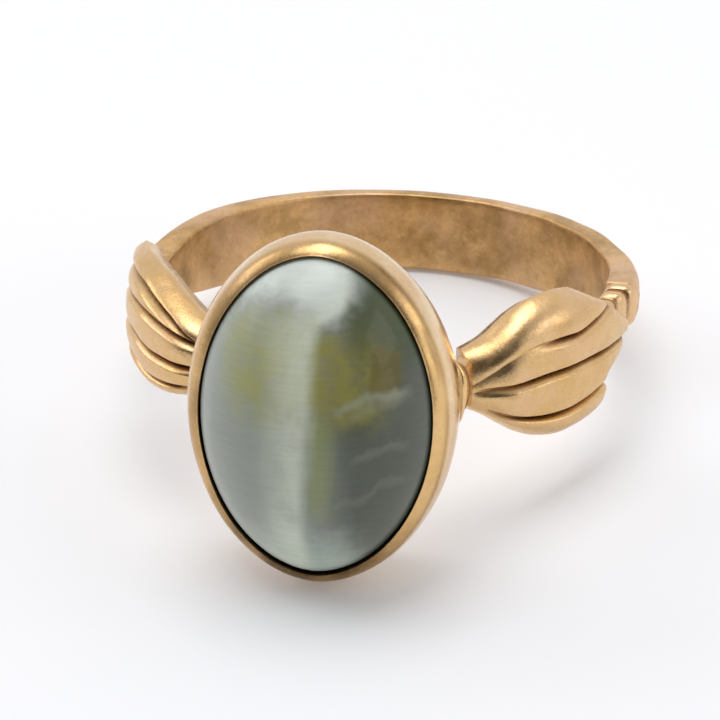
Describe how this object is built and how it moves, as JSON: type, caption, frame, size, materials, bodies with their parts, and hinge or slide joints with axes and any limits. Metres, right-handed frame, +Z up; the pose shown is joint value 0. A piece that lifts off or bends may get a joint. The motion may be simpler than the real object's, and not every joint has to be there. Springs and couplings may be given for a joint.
{
  "type": "cocktail ring",
  "caption": "Finger ring with an oval high-domed cat's-eye cabochon in a closed bezel, grooved leaf shoulders and a tapering gold band.",
  "frame": {"origin": "centre of the finger bore", "axes": "+X to the ring's right as its stone is faced, +Y away from the stone, +Z up from the table on which the ring rests; the finger axis leans back from +Z by the rest tilt of 13.5 degrees"},
  "size_m": [0.021, 0.0272, 0.0143],
  "materials": {
    "yellow_gold": "worn warm yellow-rose gold, satin inside the band and polished on the leaves",
    "gold_solder": "polished gold solder",
    "bezel_gold": "polished gold strip, paler than the band",
    "jewellers_cement": "dull grey cement",
    "cats_eye_stone": "polished grey-green translucent cabochon with a milky chatoyant band"
  },
  "bodies": {
    "root": {"shank": "yellow_gold", "right_collar": "yellow_gold", "left_collar": "yellow_gold", "right_shoulder": "yellow_gold", "left_shoulder": "yellow_gold", "right_neck": "yellow_gold", "left_neck": "yellow_gold", "right_solder_joint": "gold_solder", "left_solder_joint": "gold_solder", "bezel_wall": "bezel_gold", "bearing_ledge": "bezel_gold", "back_plate": "bezel_gold", "cement_bed": "jewellers_cement", "cabochon": "cats_eye_stone"}
  },
  "joints": []
}
